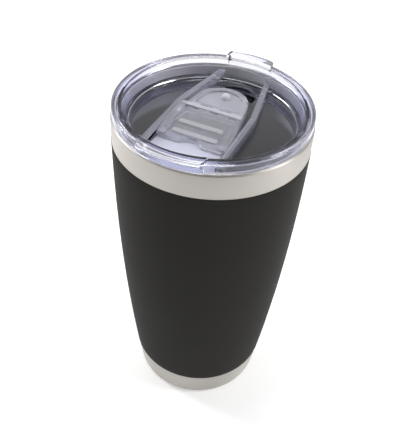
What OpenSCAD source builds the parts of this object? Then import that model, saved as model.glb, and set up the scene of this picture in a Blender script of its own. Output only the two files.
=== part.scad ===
// Vacuum-insulated drinking tumbler with a press-in clear lid and a sliding drink closure.
// The origin is the centre of the base on the surface it stands on, +Z is the axis of the
// cup, and +Y points at the drink opening. Every piece is drawn where it sits when the lid
// is on and the slider is open.

/* [Cup] */
// Height of the steel cup from the table to the top of its lip
cup_h = 168; // [145:1:205]
// Largest outside radius of the steel wall, near the lip
wall_r = 44.6; // [37:0.1:54]
// Height of the lip above the wall's widest point
crown_drop = 8; // [0:1:30]
// Outside radius that the wall's long arc comes down to at the table
base_r = 33.6; // [28:0.1:42]
// Rounding of the bottom corner
corner_r = 3; // [2:0.1:6]
// Rounding of the outer edge of the lip
lip_round = 1.2; // [1:0.1:1.6]
// Thickness of the outer steel
shell_t = 0.6; // [0.5:0.1:1.0]
// Distance of the hole in the shell's base in from the arc's foot
foot_in = 4.1; // [3.4:0.1:6]

/* [Liner] */
// Distance of the mouth in from the wall's largest radius
lip_w = 3.4; // [2.8:0.1:4.5]
// Depth of the straight part of the mouth below the lip
mouth_depth = 18; // [12:1:30]
// Height of the drinking cup's inner floor above the table
floor_z = 12; // [10:0.5:20]
// Distance of the liner's inside in from the outer wall, at the height of the floor
floor_in = 6.7; // [5:0.1:9]
// Rounding between the liner's floor and its wall
floor_round = 7; // [3:0.5:9]
// Thickness of the inner steel
liner_t = 0.5; // [0.4:0.1:0.9]

/* [Base] */
// Height of the closing plate's underside above the table
plate_z = 2.6; // [2.2:0.1:4]
// Radius of the hole that the air is drawn out through
port_r = 1.5; // [1:0.1:2.5]
// Thickness of the cosmetic disc under the base
cover_t = 0.6; // [0.4:0.1:0.8]
// Height of the cosmetic disc's lower face above the table
cover_z = 0.9; // [0.5:0.1:1]
// Radius of the getter tablet in the vacuum space
getter_r = 3; // [2:0.1:4]
// Height of the getter tablet
getter_h = 1.6; // [1:0.1:2.2]

/* [Coating] */
// Height of the lower edge of the coloured coat
coat_low = 17.6; // [10:0.1:40]
// Height of the bare steel between the coat and the lip
coat_gap = 12; // [8:0.1:40]
// Thickness of the coat
coat_t = 0.15; // [0.1:0.05:0.4]

/* [Lid] */
// Distance of the lid's rim in from the wall's largest radius
rim_in = 0.6; // [0.2:0.1:1.2]
// Height of the lid's rim above the cup's lip
rim_h = 5.2; // [4.4:0.1:8]
// Width of the rim's flat top
rim_w = 4; // [3.5:0.1:5]
// Depth of the well's floor below the rim's top
well_depth = 8.9; // [8:0.1:10]
// Lean of the well's wall from upright
well_lean = 21; // [12:0.5:24]
// Wall thickness of the lid's moulding
lid_t = 1.6; // [1.2:0.1:2]
// Thickness of the well's floor
lid_floor_t = 2; // [1.5:0.1:2.5]
// Depth of the plug's skirt below the underside of the well's floor
plug_h = 5.2; // [5:0.1:9]
// How far the two thumb tabs stand out from the rim
tab_out = 2; // [1:0.1:3]
// How far the thumb tabs rise above the rim
tab_up = 1.1; // [0.5:0.1:2]
// Width of the thumb tab by the drink opening
tab_w = 22.5; // [14:0.5:32]
// Width of the thumb tab on the other side
grip_w = 29.5; // [14:0.5:36]
// Radius of the air hole under the slider
vent_r = 1.25; // [0.8:0.05:2]

/* [Gasket] */
// Height of the gasket's groove in the plug
groove_h = 3; // [2.4:0.1:3.4]
// Depth of the groove in from the plug's lips
groove_d = 2.2; // [1.6:0.1:2.4]

/* [Slider] */
// Half width of the channel between the rails
channel_half = 16; // [12:0.1:19]
// Thickness of a rail
rail_t = 2.6; // [2.2:0.1:3.5]
// Height of the rails above the well's floor
rail_h = 3.7; // [3.2:0.1:5]
// Distance from the lid's axis at which the channel begins to narrow
taper_y = 4; // [0:0.5:8]
// Lean of the narrowing rails from the slider's path
taper_a = 10; // [8:0.5:12]
// Travel of the slider from open to shut
travel = 15; // [11:0.5:18]
// Distance of the shut slider's tip in from the foot of the well's wall
tip_in = 1.1; // [0.9:0.1:2.5]
// Distance of the open slider's thumb edge in from the foot of the well's wall
tail_in = 13.6; // [11:0.1:17]
// Width of the rim left between the drink slot and the edge of the slider's seal
seal_margin = 0.8; // [0.6:0.1:1.4]
// Height of the slider's cross ridge above its tongues
ridge_h = 5.2; // [4:0.1:5.8]
// Height of the finger ribs above the scoop
rib_h = 0.9; // [0.5:0.1:1.1]

/* [Clearances] */
// Gap between the lid's rim and the steel lip, and round the gasket
seat_gap = 0.2; // [0.1:0.05:0.4]
// Gap between the slider and whatever it slides past
slide_gap = 0.3; // [0.2:0.05:0.5]

/* [Hidden] */
$fn = 96;
arc_fn = 2880;
eps = 0.01;
steel = [0.80, 0.79, 0.77];
clear = [0.86, 0.88, 0.94, 0.55];
silicone = [0.93, 0.93, 0.94];

// Derived places on the cup
crown_z = cup_h - crown_drop;
wall_arc = (pow(crown_z, 2) + pow(wall_r - base_r, 2)) / (2 * (wall_r - base_r));
foot_r = base_r - foot_in;
mouth_r = wall_r - lip_w;
floor_r = wall_r - wall_arc + sqrt(pow(wall_arc, 2) - pow(crown_z - floor_z, 2)) - floor_in;
lip_r = wall_r - wall_arc + sqrt(pow(wall_arc, 2) - pow(cup_h - crown_z, 2));
weld_w = 0.5;
weld_r = mouth_r + liner_t + weld_w;
liner_low = floor_z - liner_t;
liner_crown = cup_h - mouth_depth;
liner_arc = (pow(mouth_r - floor_r, 2) + pow(liner_crown - floor_z, 2))
            / (2 * (mouth_r - floor_r));
plate_r = foot_r - shell_t;
getter_y = 10;
clip_t = 0.4;
clip_w = 7;

// Derived heights on the lid
rim_bottom = cup_h + seat_gap;
rim_top = cup_h + rim_h;
well_z = rim_top - well_depth;
under_z = well_z - lid_floor_t;
plug_z = under_z - plug_h;
rim_r = wall_r - rim_in;
well_top_r = rim_r - rim_w;
well_r = well_top_r - well_depth * tan(well_lean);
cone_gap = lid_t / cos(well_lean);
plug_r = mouth_r - 1;
groove_r = plug_r - groove_d;
groove_z = plug_z + 1.5;
plug_low_r = plug_r - 0.3;
lead_in = 0.8;
rim_round = 0.8;
tab_h = 3;
tab_cut = 1.6;
taper_s = tan(taper_a);

// Derived places on the slider, which is drawn open, a travel short of shut
slide_half = channel_half - slide_gap;
tip_y = well_r - tip_in;
tail_y = well_r - tail_in;
nose_y = tip_y - travel;
body_y = taper_y - travel;
nose_w = slide_half + taper_s * body_y;
nose_c = (nose_y - nose_w * cos(taper_a)) / (1 - taper_s * cos(taper_a));
nose_r = nose_y - nose_c;
slider_z = well_z + slide_gap;
tongue_z = slider_z + 0.7;
tongue_h = 1.2;
tongue_out = 0.7;
tongue_half = slide_half + tongue_out;
tail_z = tongue_z + tongue_h + 0.6;
ridge_z = tongue_z + ridge_h;
ridge_y = body_y + 9;
ridge_w = 1.8;
ridge_back = ridge_y - ridge_w / 2;
ridge_front = ridge_y + ridge_w / 2;
head_z = ridge_z - 1.9;
head_t = 2;
seal_top = head_z - head_t;
seal_y = ridge_y + 1.6;
boss_y = nose_y - 6.9;
stem_r = 1.6;
stem_up = head_t - 0.7;
slit_x = 2;
slit_y = ridge_y + 4.3;
slit_w = 5.2;
slit_t = 1;
far = 100;

// ---------------------------------------------------------------- cup outlines

// Half outline of a cup whose side is a long arc: widest radius r at height z, radius of
// arc a, resting on height low, cut off at height high, with the bottom corner rounded.
module cup_outline(r, z, a, low, high, round) {
    xa = r - a;
    cz = low + round;
    cx = xa + sqrt(pow(a - round, 2) - pow(cz - z, 2));
    ux = (cx - xa) / (a - round);
    uz = (cz - z) / (a - round);
    difference() {
        intersection() {
            translate([0, low]) square([2 * r, high - low]);
            translate([xa, z]) circle(r = a, $fn = arc_fn);
        }
        difference() {
            polygon([[cx, cz], [cx, low - 1], [cx + 3 * round, low - 1],
                     [cx + 3 * round * ux, cz + 3 * round * uz]]);
            translate([cx, cz]) circle(r = round);
        }
    }
}

// What a rounding takes away from an outer corner at radius r and height z
module corner_cut(r, z, round) {
    translate([r - round, z - round]) difference() {
        square([2 * round, 2 * round]);
        circle(r = round);
    }
}

// The outside of the steel, moved in (or, below zero, out) by t
module steel_outline(t, low, high) {
    cup_outline(wall_r - t, crown_z, wall_arc - t, low, high, corner_r - t);
}

// The inside of the liner, moved out by t; its arc runs from the mouth to the floor
module liner_outline(t, high) {
    cup_outline(mouth_r + t, liner_crown, liner_arc + t, floor_z - t, liner_crown,
                floor_round + t);
    translate([0, liner_crown - eps]) square([mouth_r + t, high - liner_crown + eps]);
}

// ---------------------------------------------------------------- cup pieces

module outer_shell() {
    color(steel) rotate_extrude() difference() {
        steel_outline(0, 0, cup_h);
        steel_outline(shell_t, shell_t, cup_h - shell_t);
        square([foot_r, cup_h / 2]);
        translate([0, cup_h - 4 * lip_round]) square([weld_r, 5 * lip_round]);
        corner_cut(lip_r - 2 * eps, cup_h, lip_round);
    }
}

module inner_liner() {
    color(steel) rotate_extrude() difference() {
        liner_outline(liner_t, cup_h);
        liner_outline(0, cup_h + 1);
    }
}

module lip_weld() {
    color(steel) translate([0, 0, cup_h - shell_t]) difference() {
        cylinder(h = shell_t, r = weld_r);
        translate([0, 0, -1]) cylinder(h = shell_t + 2, r = mouth_r + liner_t);
    }
}

module outer_bottom() {
    color(steel) difference() {
        cylinder(h = plate_z + shell_t, r = foot_r);
        translate([0, 0, -1]) cylinder(h = plate_z + 1, r = plate_r);
        translate([0, 0, -1]) cylinder(h = plate_z + 3, r = port_r);
    }
}

module bottom_weld() {
    color(steel) translate([0, 0, shell_t]) difference() {
        cylinder(h = weld_w, r = foot_r + weld_w);
        translate([0, 0, -1]) cylinder(h = weld_w + 2, r = foot_r);
    }
}

module port_seal() {
    bead_r = port_r + 1;
    bead_h = 0.6;
    color([0.30, 0.31, 0.33]) {
        translate([0, 0, plate_z - eps]) cylinder(h = shell_t + eps, r = port_r);
        translate([0, 0, plate_z - bead_h])
            cylinder(h = bead_h, r1 = bead_r - bead_h, r2 = bead_r);
    }
}

module base_adhesive() {
    pad_edge = 2.5;
    pad_hole = 8;
    color([0.85, 0.84, 0.78]) translate([0, 0, cover_z + cover_t]) difference() {
        cylinder(h = plate_z - cover_z - cover_t, r = plate_r - pad_edge);
        translate([0, 0, -1]) cylinder(h = plate_z, r = port_r + pad_hole);
    }
}

module base_cover() {
    edge_gap = 0.05;
    ring_in = 5;
    ring_w = 0.8;
    ring_d = 0.25;
    color(steel) translate([0, 0, cover_z]) rotate_extrude() difference() {
        square([plate_r - edge_gap, cover_t]);
        translate([plate_r - ring_in, -1]) square([ring_w, 1 + ring_d]);
    }
}

// A strap under the tablet, with two legs up to flat feet on the liner's underside
module getter_clip() {
    leg_r = getter_r + clip_t;
    foot = 5;
    color(steel) translate([0, getter_y - clip_w / 2, liner_low]) {
        difference() {
            translate([-leg_r, 0, -getter_h - clip_t]) cube([2 * leg_r, clip_w, getter_h + clip_t]);
            translate([-getter_r, -1, -getter_h]) cube([2 * getter_r, clip_w + 2, getter_h + 1]);
        }
        for (x = [-getter_r - foot, getter_r]) translate([x, 0, -clip_t])
            cube([foot, clip_w, clip_t]);
    }
}

module getter_tablet() {
    color([0.35, 0.34, 0.33]) translate([0, getter_y, liner_low - getter_h])
        cylinder(h = getter_h, r = getter_r);
}

module powder_coat() {
    color([0.2, 0.2, 0.19]) rotate_extrude() difference() {
        intersection() {
            steel_outline(-coat_t, -coat_t, cup_h);
            translate([0, coat_low]) square([2 * wall_r, cup_h - coat_gap - coat_low]);
        }
        steel_outline(0, 0, cup_h + 1);
    }
}

// ---------------------------------------------------------------- lid pieces

// Half outline of the lid's round parts
module lid_outline() {
    top_z = rim_top - lid_t;
    difference() {
        polygon([[0, under_z], [0, well_z], [well_r, well_z], [well_top_r, rim_top],
                 [rim_r, rim_top], [rim_r, rim_bottom], [rim_r - lid_t, rim_bottom],
                 [rim_r - lid_t, top_z],
                 [well_top_r + cone_gap - lid_t * tan(well_lean), top_z],
                 [well_r + cone_gap, well_z],
                 [plug_r, well_z], [plug_r, groove_z + groove_h],
                 [groove_r, groove_z + groove_h], [groove_r, groove_z],
                 [plug_low_r, groove_z], [plug_low_r, plug_z + lead_in],
                 [plug_low_r - lead_in, plug_z], [groove_r - lid_t, plug_z],
                 [groove_r - lid_t, under_z]]);
        corner_cut(rim_r, rim_top, rim_round);
    }
}

// The space above the floor and inside the well's wall
module well_space(extra) {
    rotate_extrude() polygon([[0, well_z - extra], [well_r, well_z - extra], [well_r, well_z],
                              [well_top_r, rim_top], [0, rim_top]]);
}

// Plan of the channel, grown by g on each side, and open past the well at both ends
module channel_plan(g) {
    end_y = 1.4 * rim_r;
    half = channel_half + g;
    narrow = half - taper_s * (end_y - taper_y);
    polygon([[-half, -end_y], [half, -end_y], [half, taper_y], [narrow, end_y],
             [-narrow, end_y], [-half, taper_y]]);
}

// The drink slot follows the slider's seal when the slider is shut
module slot_plan(r) {
    flat_y = -2.6;
    intersection() {
        translate([0, nose_c + travel]) circle(r = r);
        translate([-far / 2, nose_c + travel + flat_y]) square([far, far]);
    }
}

// One thumb tab, on the +Y side: a wedge on the rim, w wide, that leans out to its top edge
module thumb_tab(w) {
    out_r = rim_r + tab_out;
    in_r = well_top_r + 0.9;
    foot_in = rim_r - lid_t / 2;
    side_y = sqrt(pow(out_r, 2) - pow(w / 2, 2)) - tab_cut;
    end_x = w / 2 - 4 * tab_cut;
    end_y = side_y + 8 * tab_cut;
    intersection() {
        rotate_extrude() polygon([[in_r, rim_top - 1], [in_r, rim_top + tab_up],
                                  [out_r, rim_top + tab_up],
                                  [out_r, rim_top + tab_up - tab_h / 2],
                                  [rim_r + 0.3, rim_bottom], [foot_in, rim_bottom],
                                  [foot_in, rim_top - 1]]);
        translate([0, 0, rim_bottom - 1]) linear_extrude(rim_h + tab_up + 2)
            polygon([[-w / 2, 0], [w / 2, 0], [w / 2, side_y], [end_x, end_y],
                     [-end_x, end_y], [-w / 2, side_y]]);
    }
}

module lid_body() {
    color(clear) {
        difference() {
            union() {
                rotate_extrude() lid_outline();
                thumb_tab(tab_w);
                rotate([0, 0, 180]) thumb_tab(grip_w);
                intersection() {
                    well_space(eps);
                    translate([0, 0, well_z - eps]) linear_extrude(rail_h + eps) difference() {
                        channel_plan(rail_t);
                        channel_plan(0);
                    }
                }
            }
            intersection() {
                well_space(-eps);
                translate([0, 0, tongue_z - slide_gap])
                    linear_extrude(tongue_h + 2 * slide_gap)
                    translate([-channel_half - tongue_out - slide_gap, -2 * rim_r])
                    square([2 * (channel_half + tongue_out + slide_gap),
                            2 * rim_r + taper_y + slide_gap]);
            }
            translate([0, 0, under_z - 1]) linear_extrude(lid_floor_t + 1 + rail_h)
                slot_plan(nose_r - 2 * seal_margin);
            translate([0, body_y, under_z - 1]) cylinder(h = lid_floor_t + 2, r = vent_r);
        }
    }
}

module lid_gasket() {
    skin = 0.1;
    edge_t = 0.3;
    low = groove_z + seat_gap;
    high = groove_z + groove_h - seat_gap;
    mid = (low + high) / 2;
    in_r = groove_r + skin;
    out_r = mouth_r - skin;
    root = plug_r - 0.6;
    color(silicone) rotate_extrude()
        polygon([[in_r, low], [root, low], [out_r, low + 0.5], [out_r, low + 0.5 + edge_t],
                 [root, mid - skin], [root, mid + skin], [out_r, high - 0.4 - edge_t],
                 [out_r, high - 0.4], [root, high], [in_r, high]]);
}

// ---------------------------------------------------------------- slider pieces

// Plan of the open slider, moved in by g all round
module slider_plan(g) {
    half = slide_half - g / cos(taper_a);
    nose = nose_r - g + 0.02;
    cut = nose_c + (nose_r - g) * sin(taper_a);
    side = half - taper_s * (cut - body_y);
    union() {
        polygon([[-half, -tail_y + g], [half, -tail_y + g], [half, body_y], [side, cut],
                 [-side, cut], [-half, body_y]]);
        translate([0, nose_c]) circle(r = nose);
    }
}

// Long bar across the slider with round ends, centred on y
module rib(y, z, len, wide, high) {
    translate([0, y, z]) {
        translate([-len / 2, -wide / 2, 0]) cube([len, wide, high]);
        for (side = [-1, 1]) translate([side * len / 2, 0, 0]) cylinder(h = high, r = wide / 2);
    }
}

// Side view of the slider, as an extrusion across it, moved down by g
module slider_side(g) {
    rotate([90, 0, 90]) translate([0, 0, -far / 2]) linear_extrude(far)
        polygon([[-tail_y - 1, slider_z - 1], [-tail_y - 1, tail_z - g],
                 [-tail_y, tail_z - g], [ridge_back, ridge_z - g],
                 [ridge_front, ridge_z - g], [ridge_front + 1.2, head_z - g],
                 [nose_y + 1, head_z - g], [nose_y + 1, slider_z - 1]]);
}

// The part of the slider's plan, moved in by g, that lies beyond y
module slider_front(g, y) {
    intersection() {
        slider_plan(g);
        translate([-far / 2, y]) square([far, far]);
    }
}

module slider_body() {
    wall = 1.6;
    notch_r = 6;
    notch_d = 2.8;
    border = 4;
    scoop_half = channel_half - border;
    scoop_d = 1.1;
    seat_gap_in = seal_margin - 0.05;
    d_in = 2.6;
    d_y = ridge_y + 5.6;
    d_depth = 0.7;
    rib_w = 2.2;
    rib_len = 2 * scoop_half - 5.6;
    rise = (ridge_z - tail_z) / (ridge_back + tail_y);
    function scoop_at(y) = tail_z - scoop_d + rise * (y + tail_y);
    color([0.88, 0.90, 0.95, 0.6]) {
        difference() {
            union() {
                intersection() {
                    translate([0, 0, slider_z]) linear_extrude(far) slider_plan(0);
                    slider_side(0);
                }
                translate([-tongue_half, -tail_y, tongue_z])
                    cube([2 * tongue_half, tail_y + body_y, tongue_h]);
            }
            // the thumb scoop between the side borders
            difference() {
                translate([-scoop_half, -tail_y - 1, slider_z])
                    cube([2 * scoop_half, ridge_back + tail_y + 0.6, far]);
                slider_side(scoop_d);
            }
            // hollow underside
            intersection() {
                translate([0, 0, slider_z - 1]) linear_extrude(far) difference() {
                    slider_front(wall + tongue_out, wall + 3 - tail_y);
                    translate([-far / 2, ridge_y]) square([far, far]);
                }
                slider_side(scoop_d + wall);
            }
            // seat of the seal under the head
            translate([0, 0, slider_z - 1]) linear_extrude(seal_top - slider_z + 1)
                slider_front(seat_gap_in, seal_y - 0.05);
            // shallow D in the top of the head
            translate([0, 0, head_z - d_depth]) linear_extrude(far) slider_front(d_in, d_y);
            // two slits that the seal's keys come up through
            for (x = [-slit_x - slit_w, slit_x])
                translate([x, slit_y, seal_top - 1]) cube([slit_w, slit_t, far]);
            // hole for the seal's stem
            translate([0, boss_y, seal_top - 1]) cylinder(h = far, r = stem_r);
            // thumb notch in the back edge
            translate([0, notch_d - notch_r - tail_y, slider_z - 1]) cylinder(h = far, r = notch_r);
        }
        for (part = [0.2, 0.5]) {
            y = part * (ridge_back + tail_y) - tail_y;
            intersection() {
                rib(y, scoop_at(y) - 0.5, rib_len, rib_w, 3);
                slider_side(scoop_d - rib_h);
            }
        }
    }
}

module slider_seal() {
    cap_r = stem_r + 0.7;
    cap_h = 1.8;
    key_h = 0.8;
    low = slider_z - slide_gap / 2;
    color(silicone) {
        translate([0, 0, low]) linear_extrude(seal_top - low) slider_front(seal_margin, seal_y);
        translate([0, boss_y, seal_top - eps]) cylinder(h = stem_up + eps, r = stem_r);
        translate([0, boss_y, seal_top + stem_up]) cylinder(h = cap_h, r1 = cap_r, r2 = stem_r);
        for (x = [-slit_x - slit_w, slit_x])
            translate([x, slit_y, seal_top - eps]) cube([slit_w, slit_t, key_h]);
    }
}

outer_shell();
inner_liner();
lip_weld();
outer_bottom();
bottom_weld();
port_seal();
base_adhesive();
base_cover();
getter_clip();
getter_tablet();
powder_coat();
lid_gasket();
lid_body();
slider_body();
slider_seal();
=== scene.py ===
# %% [markdown]
# # An insulated tumbler with a clear press-in lid
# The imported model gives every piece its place, in metres, with +Z up along the cup and +Y
# towards the drink opening. This script gives the pieces that are seen their finished
# meshes and materials, and then sets the table, the light and the camera.

# %% The fixed frame
from math import radians, sin, cos, tan, sqrt, pi, atan2
import bmesh
import bpy
from mathutils import Matrix, Vector


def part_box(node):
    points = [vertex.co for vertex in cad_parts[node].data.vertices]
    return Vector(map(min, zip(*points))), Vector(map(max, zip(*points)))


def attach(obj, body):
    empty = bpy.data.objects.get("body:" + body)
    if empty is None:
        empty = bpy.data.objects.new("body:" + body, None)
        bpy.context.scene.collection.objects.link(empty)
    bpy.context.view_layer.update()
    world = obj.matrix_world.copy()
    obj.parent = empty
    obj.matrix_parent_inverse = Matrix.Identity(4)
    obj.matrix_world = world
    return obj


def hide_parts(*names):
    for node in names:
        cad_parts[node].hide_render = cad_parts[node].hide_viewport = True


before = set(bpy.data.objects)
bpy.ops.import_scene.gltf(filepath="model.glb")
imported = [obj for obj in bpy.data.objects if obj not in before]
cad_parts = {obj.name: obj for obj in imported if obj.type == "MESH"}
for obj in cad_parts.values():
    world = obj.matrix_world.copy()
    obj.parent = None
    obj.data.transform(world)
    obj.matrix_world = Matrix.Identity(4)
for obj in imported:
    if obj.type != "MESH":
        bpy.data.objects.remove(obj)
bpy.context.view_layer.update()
MM = 0.001

# %% [markdown]
# ## Sizes
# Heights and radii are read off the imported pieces, so they follow the model when it
# changes. Only what a box can't tell, such as a wall's thickness or a rounding, is written
# here, in millimetres, as the design has it.

# %% Sizes read from the pieces
def low(node):
    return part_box(node)[0]


def high(node):
    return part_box(node)[1]


def mm(value):
    return value / MM


cup_h = mm(high("outer_shell")[2])
coat_low, coat_high = mm(low("powder_coat")[2]), mm(high("powder_coat")[2])
wall_r = mm(high("outer_shell")[0])
floor_low = mm(low("inner_liner")[2])
rim_r = mm(high("lid_body")[0])
tab_r = mm(high("lid_body")[1])
tab_top = mm(high("lid_body")[2])
plug_z = mm(low("lid_body")[2])
slider_low = mm(low("slider_body")[2])
ridge_z = mm(high("slider_body")[2])
tail_y = -mm(low("slider_body")[1])
nose_y = mm(high("slider_body")[1])
print("cup", round(cup_h, 2), "wall", round(wall_r, 2), "slider", round(ridge_z, 2))

# %% Sizes that the design fixes
shell_t, liner_t = 0.6, 0.5
crown_z, base_r, corner_r, lip_round, foot_r = cup_h - 8, 33.6, 3.0, 1.2, 29.5
wall_arc = (crown_z ** 2 + (wall_r - base_r) ** 2) / (2 * (wall_r - base_r))
floor_z = floor_low + liner_t
mouth_r, mouth_depth, floor_round = wall_r - 3.4, 18.0, 7.0
floor_r = wall_r - wall_arc + sqrt(wall_arc ** 2 - (crown_z - floor_z) ** 2) - 6.7
weld_w = 0.5
rim_h, rim_w, well_depth, well_lean, lid_t, lid_floor_t = 5.2, 4.0, 8.9, radians(21), 1.6, 2.0
seat_gap, slide_gap = 0.2, 0.3
rim_top, rim_bottom = cup_h + rim_h, cup_h + seat_gap
well_z = rim_top - well_depth
under_z = well_z - lid_floor_t
well_top_r = rim_r - rim_w
well_r = well_top_r - well_depth * tan(well_lean)
plug_r = mouth_r - 1
groove_r, groove_z, groove_h = plug_r - 2.2, plug_z + 1.5, 3.0
channel_half, rail_t, rail_h, taper_y, taper = 16.0, 2.6, 3.7, 4.0, radians(10)
travel = 15.0
tab_h, tab_cut, tab_w, grip_w = 3.0, 1.6, 22.5, 29.5
print("the lid's floor is", round(rim_top - well_z, 2), "mm below its rim")

# %% [markdown]
# ## Tools of the trade
# Round pieces are turned, as on a lathe: half of the section is drawn as one flat face, its
# corners are rounded with a vertex bevel, and a spin carries the outline round the axis.
# Pieces that aren't round are prisms that cut, keep or join each other with exact booleans,
# and a thin bevel at the end gives every edge the small radius that catches the light.

# %% Making a mesh into a piece
def to_piece(name, bm, smooth_angle=32):
    """Two material slots are opened, because a carved piece may wear a second finish."""
    bmesh.ops.remove_doubles(bm, verts=bm.verts, dist=0.0005)
    bmesh.ops.recalc_face_normals(bm, faces=bm.faces)
    for face in bm.faces:
        face.smooth = True
    for edge in bm.edges:
        edge.smooth = edge.calc_face_angle(0) < radians(smooth_angle)
    bmesh.ops.scale(bm, vec=(MM, MM, MM), verts=bm.verts)
    mesh = bpy.data.meshes.new(name)
    bm.to_mesh(mesh)
    bm.free()
    for _ in range(2):
        mesh.materials.append(None)
    piece = bpy.data.objects.new(name, mesh)
    bpy.context.scene.collection.objects.link(piece)
    return piece


# %% A turned piece
def turned(name, corners, rounds=(), steps=192):
    """corners are (radius, height) in mm; rounds is a list of (corner index, radius)."""
    bm = bmesh.new()
    verts = [bm.verts.new((r, 0, z)) for r, z in corners]
    bm.faces.new(verts)
    for radius in sorted({size for _, size in rounds}):
        picked = [verts[i] for i, size in rounds if size == radius]
        bmesh.ops.bevel(bm, geom=picked, offset=radius, offset_type="OFFSET", segments=5,
                        profile=0.5, affect="VERTICES", clamp_overlap=True, material=-1)
    bmesh.ops.delete(bm, geom=bm.faces[:], context="FACES_ONLY")
    bmesh.ops.spin(bm, geom=bm.verts[:] + bm.edges[:], cent=(0, 0, 0), axis=(0, 0, 1),
                   angle=2 * pi, steps=steps, use_merge=True, use_duplicate=False)
    bmesh.ops.remove_doubles(bm, verts=bm.verts, dist=0.0005)
    thin = [face for face in bm.faces if face.calc_area() < 1e-9]
    bmesh.ops.delete(bm, geom=thin, context="FACES")
    on_axis = [e for e in bm.edges if all(abs(v.co.x) + abs(v.co.y) < 1e-4 for v in e.verts)]
    bmesh.ops.delete(bm, geom=on_axis, context="EDGES")
    return to_piece(name, bm)


# %% A prism, upright or lying across the slider's path
def prism(name, outline, base, top):
    bm = bmesh.new()
    face = bm.faces.new([bm.verts.new((x, y, base)) for x, y in outline])
    grown = bmesh.ops.extrude_face_region(bm, geom=[face])["geom"]
    lifted = [item for item in grown if isinstance(item, bmesh.types.BMVert)]
    bmesh.ops.translate(bm, vec=(0, 0, top - base), verts=lifted)
    return to_piece(name, bm)


def cross_prism(name, outline, half_width):
    """outline is in (y, z); the prism runs along X from -half_width to +half_width."""
    bm = bmesh.new()
    face = bm.faces.new([bm.verts.new((-half_width, y, z)) for y, z in outline])
    grown = bmesh.ops.extrude_face_region(bm, geom=[face])["geom"]
    moved = [item for item in grown if isinstance(item, bmesh.types.BMVert)]
    bmesh.ops.translate(bm, vec=(2 * half_width, 0, 0), verts=moved)
    return to_piece(name, bm)


def round_bar(name, x, y, base, top, radius, steps=48):
    bm = bmesh.new()
    bmesh.ops.create_cone(bm, cap_ends=True, segments=steps, radius1=radius, radius2=radius,
                          depth=top - base)
    bmesh.ops.translate(bm, vec=(x, y, (base + top) / 2), verts=bm.verts)
    return to_piece(name, bm)


# %% Joining and cutting
def carve(piece, tool, how):
    modifier = piece.modifiers.new("carve", "BOOLEAN")
    modifier.operation, modifier.solver, modifier.object = how, "EXACT", tool
    shape = piece.evaluated_get(bpy.context.evaluated_depsgraph_get())
    mesh = bpy.data.meshes.new_from_object(shape)
    piece.modifiers.clear()
    piece.data = mesh
    bpy.data.objects.remove(tool)
    return piece


def cut(piece, tool):
    return carve(piece, tool, "DIFFERENCE")


def painted_highlight_faces(piece):
    # puts every face in the second slot, the lighter plastic that is a painted highlight
    for face in piece.data.polygons:
        face.material_index = 1
    return piece


def keep(piece, tool):
    return carve(piece, tool, "INTERSECT")


def join(piece, tool):
    return carve(piece, tool, "UNION")


def finish_edges(piece, width, angle=30, segments=3):
    """Cleans a carved mesh and rounds its sharp edges by a small radius."""
    bm = bmesh.new()
    bm.from_mesh(piece.data)
    bmesh.ops.remove_doubles(bm, verts=bm.verts, dist=2e-6)
    bmesh.ops.dissolve_degenerate(bm, edges=bm.edges, dist=2e-6)
    flat = [e for e in bm.edges if e.is_manifold and e.calc_face_angle(0) < radians(0.05)]
    bmesh.ops.dissolve_edges(bm, edges=flat, use_verts=True)
    for face in bm.faces:
        face.smooth = True
    for edge in bm.edges:
        edge.smooth = True
    bm.to_mesh(piece.data)
    bm.free()
    bevel = piece.modifiers.new("edges", "BEVEL")
    bevel.width, bevel.segments, bevel.profile = width * MM, segments, 0.5
    bevel.limit_method, bevel.angle_limit = "ANGLE", radians(angle)
    bevel.use_clamp_overlap, bevel.harden_normals = True, False
    normals = piece.modifiers.new("normals", "WEIGHTED_NORMAL")
    normals.weight, normals.keep_sharp = 60, False
    print(piece.name, len(piece.data.polygons), "faces before its edges are rounded")
    return piece

# %% [markdown]
# ## The steel cup
# The wall of the real cup is one drawn tube, and its side is a very long arc that is widest
# near the lip. The arc's points come from the circle's equation, and the tight rounds at
# the foot and the lip from the vertex bevel.

# %% The side of the cup
def side_radius(z, moved_in=0.0):
    """Outside radius of the wall at height z, for a surface moved in by moved_in."""
    centre = wall_r - wall_arc
    return centre + sqrt((wall_arc - moved_in) ** 2 - (z - crown_z) ** 2)


def heights(start, end, count):
    return [start + (end - start) * i / (count - 1) for i in range(count)]


def side(start, end, moved_in=0.0, count=25):
    return [(side_radius(z, moved_in), z) for z in heights(start, end, count)]


# %% The outer wall
inner_edge = mouth_r + liner_t + weld_w
outside = side(0, cup_h)
inside = side(shell_t, cup_h - shell_t, shell_t)
wall_corners = ([(foot_r, 0)] + outside + [(inner_edge, cup_h), (inner_edge, cup_h - shell_t)]
                + inside[::-1] + [(foot_r, shell_t)])
n = len(outside)
wall_rounds = [(1, corner_r), (n, lip_round), (n + 3, lip_round - shell_t),
               (2 * n + 2, corner_r - shell_t)]
outer_wall = turned("outer_wall", wall_corners, wall_rounds)
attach(outer_wall, "cup")
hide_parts("outer_shell")
print("outer wall", len(outer_wall.data.polygons), "faces")

# %% The coat
coat_t = 0.15
sunk = 0.004
coat_outside = side(coat_low, coat_high, -coat_t)
coat_corners = coat_outside + side(coat_low, coat_high, sunk)[::-1]
coat = turned("coat", coat_corners, [(0, 0.1), (len(coat_outside) - 1, 0.1)])
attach(coat, "cup")
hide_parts("powder_coat")
print("coat", len(coat.data.polygons), "faces")

# %% The drinking cup
liner_crown = cup_h - mouth_depth
liner_arc = (((mouth_r - floor_r) ** 2 + (liner_crown - floor_z) ** 2)
             / (2 * (mouth_r - floor_r)))


def liner_radius(z, out=0.0):
    centre = mouth_r - liner_arc
    return centre + sqrt((liner_arc + out) ** 2 - (z - liner_crown) ** 2)


def liner_side(start, out=0.0, count=25):
    curve = [(liner_radius(z, out), z) for z in heights(start, liner_crown, count)]
    return curve + [(mouth_r + out, cup_h)]


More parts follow.
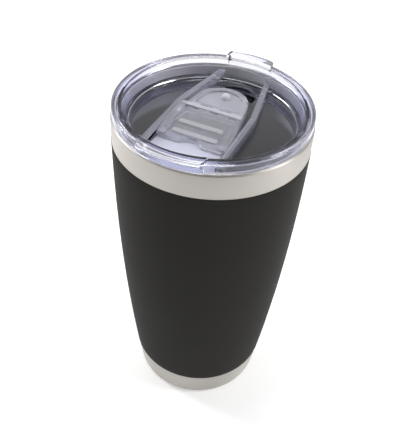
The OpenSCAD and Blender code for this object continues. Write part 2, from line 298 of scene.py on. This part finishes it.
liner_out = liner_side(floor_low, liner_t)
liner_in = liner_side(floor_z)
m = len(liner_out)
liner_corners = [(0, floor_low)] + liner_out + liner_in[::-1] + [(0, floor_z)]
liner_rounds = [(1, floor_round + liner_t), (2 * m, floor_round), (m + 1, 0.3)]
drinking_cup = turned("drinking_cup", liner_corners, liner_rounds)
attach(drinking_cup, "cup")
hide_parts("inner_liner")
print("drinking cup", len(drinking_cup.data.polygons), "faces")

# %% The disc under the base
cover_low, cover_high = mm(low("base_cover")[2]), mm(high("base_cover")[2])
cover_r = mm(high("base_cover")[0])
ring_r = cover_r - 4.5
cover_corners = [(0, cover_low), (ring_r - 0.6, cover_low), (ring_r - 0.3, cover_low + 0.25),
                 (ring_r + 0.3, cover_low + 0.25), (ring_r + 0.6, cover_low),
                 (cover_r, cover_low), (cover_r, cover_high), (0, cover_high)]
base_disc = turned("base_disc", cover_corners, [(5, 0.2)])
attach(base_disc, "cup")
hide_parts("base_cover")

# %% [markdown]
# ## The gasket
# The real gasket is a soft ring with two lips that wipe the steel. It is turned from its
# section, with every corner rounded, because moulded silicone has no sharp edges.

# %% The gasket
g_low, g_high = mm(low("lid_gasket")[2]), mm(high("lid_gasket")[2])
g_mid, g_out, g_in = (g_low + g_high) / 2, mm(high("lid_gasket")[0]), groove_r + 0.1
g_root = plug_r - 0.6
gasket_corners = [(g_in, g_low), (g_root, g_low), (g_out, g_low + 0.5), (g_out, g_low + 0.8),
                  (g_root, g_mid - 0.1), (g_root, g_mid + 0.1), (g_out, g_high - 0.7),
                  (g_out, g_high - 0.4), (g_root, g_high), (g_in, g_high)]
gasket = turned("gasket", gasket_corners, [(0, 0.2), (9, 0.2), (2, 0.12), (3, 0.12), (6, 0.12),
                                           (7, 0.12)])
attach(gasket, "gasket")
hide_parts("lid_gasket")

# %% [markdown]
# ## The lid
# The lid is one clear moulding: a rim that sits on the lip, a cone that leads down to the
# floor of the well, a plug with the gasket's groove under it, two rails, and two thumb
# tabs. The round part is turned, and the rest is carved with prisms.

# %% The round part of the lid
slope = lid_t / cos(well_lean)
ceiling = rim_top - lid_t
lid_corners = [
    (0, under_z), (0, well_z), (well_r, well_z), (well_top_r, rim_top), (rim_r, rim_top),
    (rim_r, rim_bottom), (rim_r - lid_t, rim_bottom), (rim_r - lid_t, ceiling),
    (well_top_r + slope - lid_t * tan(well_lean), ceiling), (well_r + slope, well_z),
    (plug_r, well_z), (plug_r, groove_z + groove_h), (groove_r, groove_z + groove_h),
    (groove_r, groove_z), (plug_r - 0.3, groove_z), (plug_r - 0.3, plug_z + 0.8),
    (plug_r - 1.1, plug_z), (groove_r - lid_t, plug_z), (groove_r - lid_t, under_z)]
lid_rounds = [(2, 0.9), (3, 0.7), (4, 0.8), (5, 0.35), (6, 0.35), (7, 0.5), (9, 0.5),
              (10, 0.3), (16, 0.4), (17, 0.3), (18, 0.6)]
lid = turned("lid", lid_corners, lid_rounds)
print("round part of the lid", len(lid.data.polygons), "faces")

# %% The thumb tabs
def thumb_tab(width):
    """A wedge on the rim that leans out from the skirt's foot to its top edge."""
    foot_in, lid_in = rim_r - lid_t / 2, well_top_r + 0.9
    ring = turned("tab", [(lid_in, rim_top - 1), (lid_in, tab_top), (tab_r, tab_top),
                          (tab_r, tab_top - tab_h / 2), (rim_r + 0.3, rim_bottom),
                          (foot_in, rim_bottom), (foot_in, rim_top - 1)],
                  [(1, 0.4), (2, 0.6), (3, 0.6)])
    side_y = sqrt(tab_r ** 2 - (width / 2) ** 2) - tab_cut
    half, end_x, end_y = width / 2, width / 2 - 4 * tab_cut, side_y + 8 * tab_cut
    plan = prism("plan", [(-half, 20), (half, 20), (half, side_y), (end_x, end_y),
                          (-end_x, end_y), (-half, side_y)], rim_bottom - 5, tab_top + 5)
    return keep(ring, plan)


join(lid, thumb_tab(tab_w))
grip = thumb_tab(grip_w)
grip.data.transform(Matrix.Rotation(pi, 4, "Z"))
join(lid, grip)

# %% The rails
taper_s = tan(taper)


def channel_edge(grow, end_y):
    half = channel_half + grow
    return half - taper_s * (end_y - taper_y)


def well_space(name, grow, base, top):
    """The room inside the well's cone, grown sideways, as a solid."""
    def cone_r(z):
        return well_r + grow + (z - well_z) * tan(well_lean)
    return turned(name, [(0, base), (cone_r(base), base), (cone_r(top), top), (0, top)])


def rail(side_sign):
    end_y = rim_r
    outline = [(channel_half, -end_y), (channel_half + rail_t, -end_y),
               (channel_half + rail_t, taper_y), (channel_edge(rail_t, end_y), end_y),
               (channel_edge(0, end_y), end_y), (channel_half, taper_y)]
    bar = prism("rail", [(side_sign * x, y) for x, y in outline], well_z - 0.5, well_z + rail_h)
    return painted_highlight_faces(keep(bar, well_space("room", 0.7, well_z - 0.6, rim_top)))


for side_sign in (-1, 1):
    join(lid, rail(side_sign))

# %% What the slider's sizes are tied to
tongue_z, tongue_h, tongue_out = slider_low + 0.7, 1.2, 0.7
slide_half = channel_half - slide_gap
body_y = taper_y - travel
side_w0 = slide_half + taper_s * body_y
nose_c = (nose_y - side_w0 * cos(taper)) / (1 - taper_s * cos(taper))
nose_r = nose_y - nose_c
seal_margin = 0.8
print("the nose's rounding is", round(nose_r, 2), "mm, and its centre is at", round(nose_c, 2))

# %% The slider's grooves, the drink slot and the air hole
reach = channel_half + tongue_out + slide_gap
grooves = prism("grooves", [(-reach, -50), (reach, -50), (reach, taper_y + slide_gap),
                            (-reach, taper_y + slide_gap)],
                tongue_z - slide_gap, tongue_z + tongue_h + slide_gap)
cut(lid, keep(grooves, well_space("room", -0.01, well_z - 1, rim_top)))
slot_r, slot_c = nose_r - 2 * seal_margin, nose_c + travel
slot_start, vent_r = -2.6, 1.25
ends = sqrt(slot_r ** 2 - slot_start ** 2)
first = atan2(slot_start, ends)
arc = [first + (pi - 2 * first) * i / 40 for i in range(41)]
slot = prism("slot", [(slot_r * cos(a), slot_c + slot_r * sin(a)) for a in arc],
             under_z - 1, well_z + 1)
cut(lid, slot)
cut(lid, round_bar("vent", 0, body_y, under_z - 1, well_z + 1, vent_r))
finish_edges(lid, 0.3)
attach(lid, "lid")
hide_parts("lid_body")

# %% [markdown]
# ## The slider
# The slider is a second clear moulding. From above it is a blunt wedge with a round nose:
# the sloping thumb scoop with its two finger ribs, a cross ridge, and the head, which
# carries the silicone seal. It is hollow from below, as moulded parts are.

# %% The slider's outlines
def slider_plan(inset, start_y=-100.0):
    """Plan of the slider, moved in by inset, from start_y to the nose."""
    half = slide_half - inset / cos(taper)
    nose = nose_r - inset
    y0 = max(start_y, -tail_y + inset)
    count = 48
    turn = [taper + (pi - 2 * taper) * i / count for i in range(count + 1)]
    nose_points = [(nose * cos(a), nose_c + nose * sin(a)) for a in turn]

    def edge(y):
        return half if y < body_y else half - taper_s * (y - body_y)
    shoulder = [(half, body_y)] if y0 < body_y else []
    right = [(edge(y0), y0)] + shoulder
    left = [(-x, y) for x, y in right[::-1]]
    return right + nose_points + left


tail_z = tongue_z + tongue_h + 0.6
ridge_y, ridge_w = body_y + 9, 1.8
ridge_back, ridge_front = ridge_y - ridge_w / 2, ridge_y + ridge_w / 2
head_z, head_t = ridge_z - 1.9, 2.0
seal_top, seal_y = head_z - head_t, ridge_y + 1.6


def slider_side(drop):
    """Side view of the slider's top in (y, z), moved down by drop."""
    return [(-tail_y - 1, slider_low - 1), (-tail_y - 1, tail_z - drop), (-tail_y, tail_z - drop),
            (ridge_back, ridge_z - drop), (ridge_front, ridge_z - drop),
            (ridge_front + 1.2, head_z - drop), (nose_y + 1, head_z - drop),
            (nose_y + 1, slider_low - 1)]

# %% The slider's block, scoop and hollow
wall, scoop_d, scoop_half, far = 1.6, 1.1, channel_half - 4, 60


def box(name, x0, x1, y0, y1, z0, z1):
    return prism(name, [(x0, y0), (x1, y0), (x1, y1), (x0, y1)], z0, z1)


slider = keep(prism("slider", slider_plan(0), slider_low, ridge_z + 5),
              cross_prism("side", slider_side(0), 30))
reach = slide_half + tongue_out
join(slider, box("tongue", -reach, reach, -tail_y, body_y, tongue_z, tongue_z + tongue_h))
scoop = box("scoop", -scoop_half, scoop_half, -tail_y - 0.9, ridge_back - 0.4,
            slider_low, ridge_z + 10)
cut(slider, cut(scoop, cross_prism("side", slider_side(scoop_d), 40)))
hollow = prism("hollow", slider_plan(wall + tongue_out, wall + 3 - tail_y),
               slider_low - 1, ridge_z + 5)
cut(hollow, box("front", -30, 30, ridge_y, far, slider_low - 5, ridge_z + 9))
cut(slider, keep(hollow, cross_prism("side", slider_side(scoop_d + wall), 30)))

# %% The head, the notch and the ribs
notch_r, notch_d, d_in, d_y, d_depth = 6.0, 2.8, 2.6, ridge_y + 5.6, 0.7
rib_h, rib_half_w = 0.9, 1.1
cut(slider, prism("seat", slider_plan(seal_margin - 0.05, seal_y - 0.05),
                  slider_low - 1, seal_top))
cut(slider, prism("d_recess", slider_plan(d_in, d_y), head_z - d_depth, head_z + 5))
slit_y, slit_x, slit_w = ridge_y + 4.3, 2.0, 5.2
for x in (slit_x, -slit_x - slit_w):
    cut(slider, box("slit", x, x + slit_w, slit_y, slit_y + 1, seal_top - 1, head_z + 5))
boss_y, stem_r = nose_y - 6.9, 1.6
cut(slider, round_bar("hole", 0, boss_y, seal_top - 1, head_z + 5, stem_r))
cut(slider, round_bar("notch", 0, notch_d - notch_r - tail_y, slider_low - 1, ridge_z + 5,
                      notch_r, 96))
rise = (ridge_z - tail_z) / (ridge_back + tail_y)


def finger_rib(y):
    length = 2 * scoop_half - 5.6
    base = tail_z - scoop_d + rise * (y + tail_y) - 0.5
    turn = [-pi / 2 + pi * i / 12 for i in range(13)]
    ends = [(length / 2 + rib_half_w * cos(a), y + rib_half_w * sin(a)) for a in turn]
    outline = ends + [(-x, 2 * y - yy) for x, yy in ends]
    bar = prism("rib", outline, base, base + 3)
    return painted_highlight_faces(keep(bar, cross_prism("side", slider_side(scoop_d - rib_h), 30)))


for part in (0.2, 0.5):
    join(slider, finger_rib(part * (ridge_back + tail_y) - tail_y))
# the ridge's top also wears the ribs' lighter plastic, as a painted highlight
for face in slider.data.polygons:
    if all(slider.data.vertices[i].co.z > (ridge_z - 0.05) * MM for i in face.vertices):
        face.material_index = 1
finish_edges(slider, 0.28)
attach(slider, "slider")
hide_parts("slider_body")

# %% The slider's seal
pad_low, cap_high = mm(low("slider_seal")[2]), mm(high("slider_seal")[2])
air = 0.04
seal = prism("seal", slider_plan(seal_margin, seal_y), pad_low, seal_top - air)
join(seal, round_bar("stem", 0, boss_y, seal_top - 0.5, head_z - 0.65, stem_r - air))
boss = turned("boss", [(0, head_z - 0.7), (stem_r + 0.7, head_z - 0.7), (stem_r, cap_high),
                       (0, cap_high)], [(1, 0.25), (2, 0.7)], 64)
boss.data.transform(Matrix.Translation((0, boss_y * MM, 0)))
join(seal, boss)
for x in (slit_x, -slit_x - slit_w):
    join(seal, box("key", x + 0.05, x + slit_w - 0.05, slit_y + 0.05, slit_y + 0.95,
                   seal_top - 0.4, seal_top + 0.8))
finish_edges(seal, 0.2)
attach(seal, "slider")
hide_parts("slider_seal")

# %% [markdown]
# ## Finishes
# Every material reads Object coordinates. Brushed steel is a noise pattern squeezed flat in
# height, so that its lines run round the cup, and it drives the roughness and a very fine
# bump. Painting the lines as geometry would cost millions of faces for marks finer than a
# hair. The clear plastic is a glass shader with a faint blue in it that grows at the slanted
# edges, as it does in thick clear mouldings. The rails, the ribs and the ridge's top wear a
# lighter, milkier copy of it, a painted highlight for the bright bars that light draws there.

# %% Small helpers for node materials
def new_material(name):
    material = bpy.data.materials.new(name)
    material.use_nodes = True
    nodes, links = material.node_tree.nodes, material.node_tree.links
    return material, nodes, links, nodes["Principled BSDF"]


def object_pattern(nodes, links, kind, scale, stretch=(1, 1, 1), detail=4.0):
    place = nodes.new("ShaderNodeTexCoord")
    squeeze = nodes.new("ShaderNodeMapping")
    squeeze.inputs["Scale"].default_value = stretch
    pattern = nodes.new(kind)
    pattern.inputs["Scale"].default_value = scale
    if "Detail" in pattern.inputs:
        pattern.inputs["Detail"].default_value = detail
    links.new(place.outputs["Object"], squeeze.inputs["Vector"])
    links.new(squeeze.outputs["Vector"], pattern.inputs["Vector"])
    return pattern


def map_range(nodes, links, source, start, end, low_value=0.0, high_value=1.0, smooth=False):
    """Carries source from the range start..end to low_value..high_value."""
    ramp = nodes.new("ShaderNodeMapRange")
    ramp.interpolation_type = "SMOOTHSTEP" if smooth else "LINEAR"
    for socket, value in (("From Min", start), ("From Max", end),
                          ("To Min", low_value), ("To Max", high_value)):
        ramp.inputs[socket].default_value = value
    links.new(source, ramp.inputs["Value"])
    return ramp.outputs["Result"]


def remap(nodes, links, source, low_value, high_value):
    """A noise pattern stays mostly between 0.3 and 0.7, so that range is the one carried."""
    return map_range(nodes, links, source, 0.3, 0.7, low_value, high_value)


def arithmetic(nodes, links, operation, first, second=None):
    node = nodes.new("ShaderNodeMath")
    node.operation = operation
    links.new(first, node.inputs[0])
    if second:
        links.new(second, node.inputs[1])
    return node.outputs["Value"]


def mix_colours(nodes, links, shader, factor, first, second):
    """The shader's colour goes from first to second as factor goes from 0 to 1."""
    mix = nodes.new("ShaderNodeMix")
    mix.data_type = "RGBA"
    mix.inputs["A"].default_value = (*first, 1)
    mix.inputs["B"].default_value = (*second, 1)
    links.new(factor, mix.inputs["Factor"])
    links.new(mix.outputs["Result"], shader.inputs["Base Color"])


def add_bump(nodes, links, shader, source, height, strength=1.0):
    bump = nodes.new("ShaderNodeBump")
    bump.inputs["Strength"].default_value = strength
    bump.inputs["Distance"].default_value = height * MM
    links.new(source, bump.inputs["Height"])
    links.new(bump.outputs["Normal"], shader.inputs["Normal"])


def dress(obj, material, second=None):
    if second:
        obj.data.materials[0], obj.data.materials[1] = material, second
    else:
        obj.data.materials.clear()
        obj.data.materials.append(material)
    print(obj.name, "wears", [m.name for m in obj.data.materials if m])

# %% Steel
def steel(name, tint, rough, lines, stretch, height=0.004, anisotropic=0.0):
    material, nodes, links, shader = new_material(name)
    shader.inputs["Metallic"].default_value = 1.0
    shader.inputs["Anisotropic"].default_value = anisotropic
    shader.inputs["Anisotropic Rotation"].default_value = 0.25
    pattern = object_pattern(nodes, links, "ShaderNodeTexNoise", lines, stretch, 6.0)
    links.new(remap(nodes, links, pattern.outputs["Fac"], rough[0], rough[1]),
              shader.inputs["Roughness"])
    mix_colours(nodes, links, shader, pattern.outputs["Fac"], [c * 0.93 for c in tint], tint)
    add_bump(nodes, links, shader, pattern.outputs["Fac"], height)
    return material


brushed = steel("brushed_steel", (0.50, 0.475, 0.445), (0.40, 0.50), 60, (1, 1, 90),
                anisotropic=0.7)


# %% The inside of the cup: painted shade that darkens with depth, painted light by the mouth and painted highlights down the sides
def liner_material():
    """Painted light makes it bright satin by the mouth, painted shade makes it dark below, and a
    painted highlight streak runs down each side.
    """
    material, nodes, links, shader = new_material("liner_steel")
    place = nodes.new("ShaderNodeTexCoord")
    split = nodes.new("ShaderNodeSeparateXYZ")
    links.new(place.outputs["Object"], split.inputs["Vector"])

    def fade(source, start, end):
        return map_range(nodes, links, source, start * MM, end * MM, smooth=True)

    # a painted highlight: the side walls are painted bright for the side lamps' reflection, and
    # the front and back stay dark as painted shade
    from_middle = arithmetic(nodes, links, "ABSOLUTE", split.outputs["X"])
    painted_side_highlight = arithmetic(nodes, links, "MULTIPLY", fade(from_middle, 13, 24),
                        fade(split.outputs["Z"], liner_crown - 4, liner_crown - 1))
    # painted light by the mouth and painted shade below it: the colour goes from dark to bright
    # with height
    painted_light = arithmetic(nodes, links, "MAXIMUM", painted_side_highlight,
                        fade(split.outputs["Z"], cup_h - 10, cup_h - 7))
    mix_colours(nodes, links, shader, painted_light, (0.42, 0.42, 0.422), (0.97, 0.965, 0.96))
    shader.inputs["Metallic"].default_value = 1.0
    lines = object_pattern(nodes, links, "ShaderNodeTexNoise", 90, (1, 1, 40), 3.0)
    satin = nodes.new("ShaderNodeMapRange")
    satin.inputs["To Max"].default_value = 0.95
    links.new(painted_light, satin.inputs["Value"])
    links.new(remap(nodes, links, lines.outputs["Fac"], 0.36, 0.46), satin.inputs["To Min"])
    links.new(satin.outputs["Result"], shader.inputs["Roughness"])
    add_bump(nodes, links, shader, lines.outputs["Fac"], 0.001)
    return material


liner_finish = liner_material()
sheet_finish = steel("plain_steel", (0.60, 0.59, 0.58), (0.35, 0.5), 400, (1, 1, 1))
disc_finish = steel("disc_steel", (0.70, 0.69, 0.67), (0.25, 0.4), 150, (1, 1, 1))
weld_finish = steel("weld_steel", (0.30, 0.29, 0.28), (0.2, 0.3), 300, (1, 1, 1))

# %% Black coat
def coat_material():
    material, nodes, links, shader = new_material("black_coat")
    grain = object_pattern(nodes, links, "ShaderNodeTexNoise", 2600, (1, 1, 1), 3.0)
    cloud = object_pattern(nodes, links, "ShaderNodeTexNoise", 30, (1, 1, 1), 3.0)
    mix_colours(nodes, links, shader, cloud.outputs["Fac"], (0.0205, 0.0198, 0.0182),
                (0.0240, 0.0231, 0.0213))
    links.new(remap(nodes, links, grain.outputs["Fac"], 0.55, 0.65), shader.inputs["Roughness"])
    shader.inputs["Specular IOR Level"].default_value = 0.05
    add_bump(nodes, links, shader, grain.outputs["Fac"], 0.012)
    return material


black = coat_material()

# %% Clear plastic and silicone
def clear_plastic(name, tint, edge_tint, rough, transmission, wave_height):
    material, nodes, links, shader = new_material(name)
    slant = nodes.new("ShaderNodeLayerWeight")
    slant.inputs["Blend"].default_value = 0.5
    mix_colours(nodes, links, shader, slant.outputs["Facing"], tint, edge_tint)
    shader.inputs["Transmission Weight"].default_value = transmission
    shader.inputs["IOR"].default_value = 1.52
    ripple = object_pattern(nodes, links, "ShaderNodeTexNoise", 90, (1, 1, 1), 2.0)
    links.new(remap(nodes, links, ripple.outputs["Fac"], rough[0], rough[1]),
              shader.inputs["Roughness"])
    add_bump(nodes, links, shader, ripple.outputs["Fac"], wave_height)
    return material, nodes, links, shader


def frost_landing(nodes, links, shader, clear_rough):
    """A frosted patch on the channel's floor, where a thumb comes in behind the slider."""
    place = nodes.new("ShaderNodeTexCoord")
    split = nodes.new("ShaderNodeSeparateXYZ")
    links.new(place.outputs["Object"], split.inputs["Vector"])

    def step(axis, start, end):
        return map_range(nodes, links, split.outputs[axis], start * MM, end * MM)

    edge, start_y = channel_half - 0.4, -16.0
    patch = step("Y", start_y, start_y - 2)
    for limit in (("X", -edge - 0.3, -edge), ("X", edge + 0.3, edge),
                  ("Z", well_z + 0.6, well_z + 0.3), ("Z", well_z - 0.4, well_z - 0.2)):
        patch = arithmetic(nodes, links, "MULTIPLY", patch, step(*limit))
    for socket, clear_value, frost_value in (("Transmission Weight", 1.0, 0.3),
                                             ("Roughness", clear_rough, 0.45)):
        links.new(map_range(nodes, links, patch, 0, 1, clear_value, frost_value),
                  shader.inputs[socket])


def silicone_material(name, tint, transmission):
    material, nodes, links, shader = new_material(name)
    cloud = object_pattern(nodes, links, "ShaderNodeTexNoise", 200, (1, 1, 1), 3.0)
    shader.inputs["Base Color"].default_value = (*tint, 1)
    shader.inputs["Transmission Weight"].default_value = transmission
    shader.inputs["IOR"].default_value = 1.41
    links.new(remap(nodes, links, cloud.outputs["Fac"], 0.35, 0.5), shader.inputs["Roughness"])
    add_bump(nodes, links, shader, cloud.outputs["Fac"], 0.01)
    return material


lid_plastic, lid_nodes, lid_links, lid_shader = clear_plastic(
    "lid_plastic", (0.96, 0.957, 0.985), (0.50, 0.53, 0.87), (0.01, 0.02), 1.0, 0.008)
frost_landing(lid_nodes, lid_links, lid_shader, 0.015)
slider_plastic = clear_plastic("slider_plastic", (0.94, 0.945, 0.98), (0.74, 0.75, 0.92),
                               (0.04, 0.08), 0.8, 0.012)[0]
# a lighter, milkier copy of the clear plastic for the rails, ribs and ridge top: a painted
# highlight for the bright bars along them
rail_painted_highlight = clear_plastic("rail_painted_highlight", (0.95, 0.95, 0.99), (0.66, 0.67, 0.94),
                             (0.03, 0.06), 0.8, 0.01)[0]
rib_painted_highlight = clear_plastic("rib_painted_highlight", (0.97, 0.97, 0.99), (0.85, 0.86, 0.97),
                            (0.06, 0.1), 0.66, 0.01)[0]
silicone = silicone_material("clear_silicone", (0.84, 0.85, 0.88), 0.45)
ring_silicone = silicone_material("ring_silicone", (0.30, 0.31, 0.36), 0.9)

# %% Small hidden parts
def plain(name, colour, rough, grain_scale, metallic=0.0):
    material, nodes, links, shader = new_material(name)
    grain = object_pattern(nodes, links, "ShaderNodeTexNoise", grain_scale)
    shader.inputs["Metallic"].default_value = metallic
    mix_colours(nodes, links, shader, grain.outputs["Fac"], [0.85 * c for c in colour], colour)
    links.new(remap(nodes, links, grain.outputs["Fac"], rough - 0.08, rough + 0.08),
              shader.inputs["Roughness"])
    add_bump(nodes, links, shader, grain.outputs["Fac"], 0.02)
    return material


glass_bead = plain("solder_glass", (0.03, 0.032, 0.035), 0.15, 500)
glue = plain("adhesive", (0.72, 0.71, 0.66), 0.6, 700)
getter_metal = plain("getter_metal", (0.10, 0.10, 0.095), 0.8, 1500)

# %% Who wears what
for piece, material in ((outer_wall, brushed), (coat, black), (drinking_cup, liner_finish),
                        (base_disc, disc_finish), (gasket, ring_silicone), (seal, silicone)):
    dress(piece, material)
dress(lid, lid_plastic, rail_painted_highlight)
dress(slider, slider_plastic, rib_painted_highlight)
for node, material in (("lip_weld", weld_finish), ("outer_bottom", sheet_finish),
                       ("bottom_weld", weld_finish), ("port_seal", glass_bead),
                       ("base_adhesive", glue), ("getter_clip", sheet_finish),
                       ("getter_tablet", getter_metal)):
    dress(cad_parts[node], material)

# %% [markdown]
# ## Table, light and camera
# A pale table that glows a little, so that only a faint shadow is left at the foot, a white
# room that is dimmer overhead and in front, and three soft boxes whose reflections draw the
# clear edges. The camera looks down at the lid from a little to the right of the slider's
# line. The table shows from above only, so that the base can be looked at from below.

# %% The table
bm = bmesh.new()
bmesh.ops.create_grid(bm, x_segments=1, y_segments=1, size=3.0)
bmesh.ops.translate(bm, vec=(0, 0, -0.05 * MM), verts=bm.verts)
table_mesh = bpy.data.meshes.new("table")
bm.to_mesh(table_mesh)
bm.free()
table = bpy.data.objects.new("table", table_mesh)
bpy.context.scene.collection.objects.link(table)
table_finish, nodes, links, shader = new_material("table_top")
shader.inputs["Base Color"].default_value = (0.95, 0.95, 0.95, 1)
shader.inputs["Roughness"].default_value = 0.6
shader.inputs["Emission Color"].default_value = (1, 1, 1, 1)
shader.inputs["Emission Strength"].default_value = 0.3
side_seen = nodes.new("ShaderNodeNewGeometry")
see_through = nodes.new("ShaderNodeBsdfTransparent")
top_or_under = nodes.new("ShaderNodeMixShader")
links.new(side_seen.outputs["Backfacing"], top_or_under.inputs["Fac"])
links.new(shader.outputs["BSDF"], top_or_under.inputs[1])
links.new(see_through.outputs["BSDF"], top_or_under.inputs[2])
links.new(top_or_under.outputs["Shader"], nodes["Material Output"].inputs["Surface"])
dress(table, table_finish)

# %% The light
azimuth, elevation, roll = radians(22.0), radians(42.18), radians(4.10)
world = bpy.data.worlds.new("studio")
bpy.context.scene.world = world
world.use_nodes = True
nodes, links = world.node_tree.nodes, world.node_tree.links
sky = nodes["Background"]
sky.inputs["Color"].default_value = (1, 1, 1, 1)
look = nodes.new("ShaderNodeTexCoord")
front = nodes.new("ShaderNodeVectorMath")
front.operation = "DOT_PRODUCT"
front.inputs[1].default_value = (sin(azimuth), -cos(azimuth), 0)
height = nodes.new("ShaderNodeSeparateXYZ")
links.new(look.outputs["Generated"], front.inputs[0])
links.new(look.outputs["Generated"], height.inputs["Vector"])
dim_in_front = map_range(nodes, links, front.outputs["Value"], 0.55, 0.95, 0.85, 0.2, smooth=True)
dim_overhead = map_range(nodes, links, height.outputs["Z"], 0.35, 0.85, 1.0, 0.35, smooth=True)
links.new(arithmetic(nodes, links, "MULTIPLY", dim_in_front, dim_overhead),
          sky.inputs["Strength"])
backdrop, seen = nodes.new("ShaderNodeBackground"), nodes.new("ShaderNodeLightPath")
backdrop.inputs["Color"].default_value = (1, 1, 1, 1)
pick = nodes.new("ShaderNodeMixShader")
links.new(seen.outputs["Is Camera Ray"], pick.inputs["Fac"])
links.new(sky.outputs["Background"], pick.inputs[1])
links.new(backdrop.outputs["Background"], pick.inputs[2])
links.new(pick.outputs["Shader"], nodes["World Output"].inputs["Surface"])


def soft_box(name, place, aim, size, power):
    light = bpy.data.lights.new(name, "AREA")
    light.shape, light.size, light.size_y, light.energy = "RECTANGLE", size[0], size[1], power
    lamp = bpy.data.objects.new(name, light)
    bpy.context.scene.collection.objects.link(lamp)
    lamp.location = place
    lamp.rotation_euler = (Vector(aim) - Vector(place)).to_track_quat("-Z", "Y").to_euler()
    return lamp


lid_spot = (0, 0, 0.17)
soft_box("top_box", (-0.1, 0.15, 1.3), lid_spot, (0.5, 0.5), 4)
soft_box("left_strip", (-0.9, 0.0, 0.8), lid_spot, (0.25, 0.9), 6)
soft_box("right_strip", (0.9, 0.2, 0.8), lid_spot, (0.25, 0.9), 6)

# %% The camera
distance, aim = 0.31016, Vector((0.00079, 0.00032, 0.10753))
lens_mm, sensor_mm = 51.87, 36.0
back = Vector((sin(azimuth) * cos(elevation), -cos(azimuth) * cos(elevation), sin(elevation)))
right = Vector((cos(azimuth), sin(azimuth), 0))
up = back.cross(right)
view_right = right * cos(roll) + up * sin(roll)
view_up = up * cos(roll) - right * sin(roll)
camera_data = bpy.data.cameras.new("camera")
camera_data.lens = lens_mm
camera_data.sensor_width = sensor_mm
camera = bpy.data.objects.new("camera", camera_data)
bpy.context.scene.collection.objects.link(camera)
turn = Matrix((view_right, view_up, back)).transposed().to_4x4()
camera.matrix_world = Matrix.Translation(aim + back * distance) @ turn
bpy.context.scene.camera = camera
bpy.context.scene.view_settings.view_transform = "Standard"
